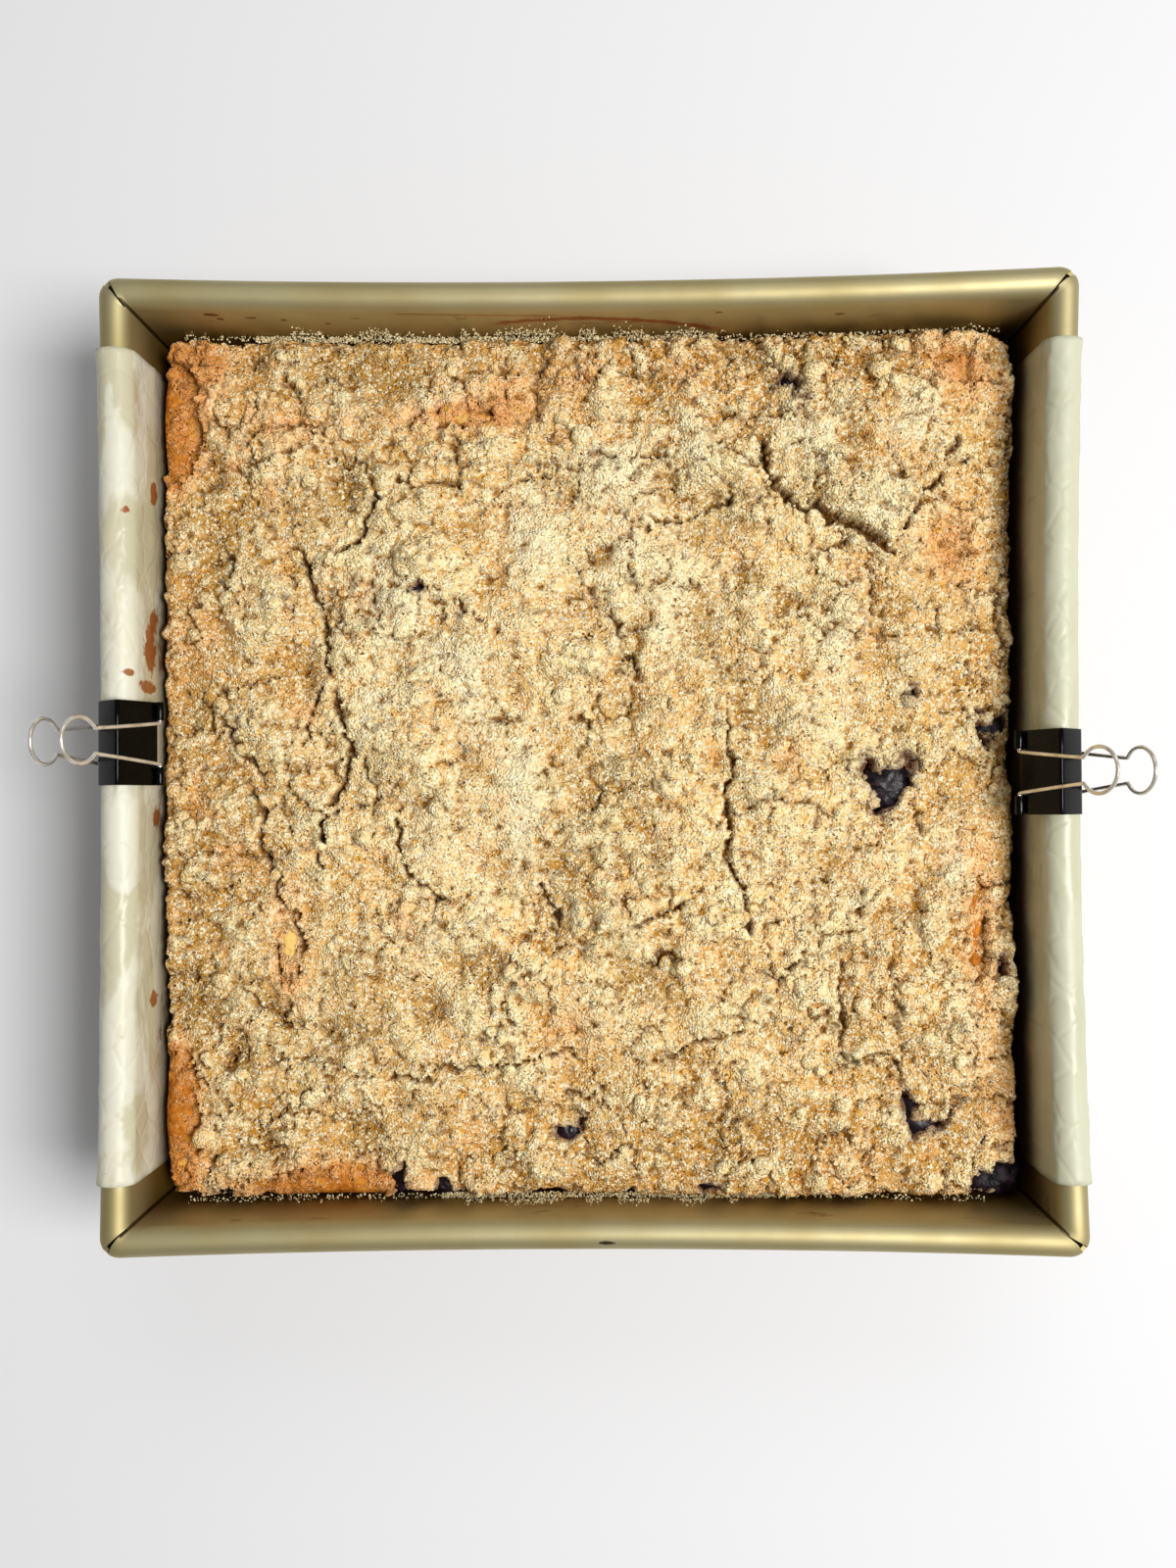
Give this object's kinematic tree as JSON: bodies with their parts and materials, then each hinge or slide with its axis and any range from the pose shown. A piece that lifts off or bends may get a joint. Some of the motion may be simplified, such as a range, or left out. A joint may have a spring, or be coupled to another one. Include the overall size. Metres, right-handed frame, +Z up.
{
  "type": "blueberry crumb coffee cake in its tin",
  "caption": "Square crumb coffee cake with sunken blueberries, in a rolled-rim tin with a clipped parchment sling.",
  "frame": {"origin": "centre of the tin's flat base, on the surface that it stands on", "axes": "+X to the right-hand clip, +Y to the back of the tin as pictured from above, +Z up"},
  "size_m": [0.241, 0.222, 0.0761],
  "materials": {
    "tin": "satin champagne-gold non-stick coating",
    "parchment": "off-white baking parchment, slightly glossy, crinkled",
    "sponge": "baked golden-brown sponge",
    "crumb": "matt sandy crumb topping, toasted in places",
    "blueberry": "dark burst berry skin, moist",
    "clip": "gloss black enamel",
    "wire": "bright nickel wire"
  },
  "bodies": {
    "root": {"tin": "tin", "parchment_sling": "parchment", "cake": "sponge", "crumb_topping": "crumb", "blueberry_1": "blueberry", "blueberry_2": "blueberry", "blueberry_3": "blueberry", "blueberry_4": "blueberry", "blueberry_5": "blueberry", "blueberry_6": "blueberry", "blueberry_7": "blueberry", "blueberry_8": "blueberry", "blueberry_9": "blueberry", "blueberry_10": "blueberry", "blueberry_11": "blueberry", "blueberry_12": "blueberry", "blueberry_13": "blueberry", "clip_left": "clip", "clip_right": "clip", "clip_left_handle_inner": "wire", "clip_left_handle_outer": "wire", "clip_right_handle_inner": "wire", "clip_right_handle_outer": "wire"}
  },
  "joints": []
}
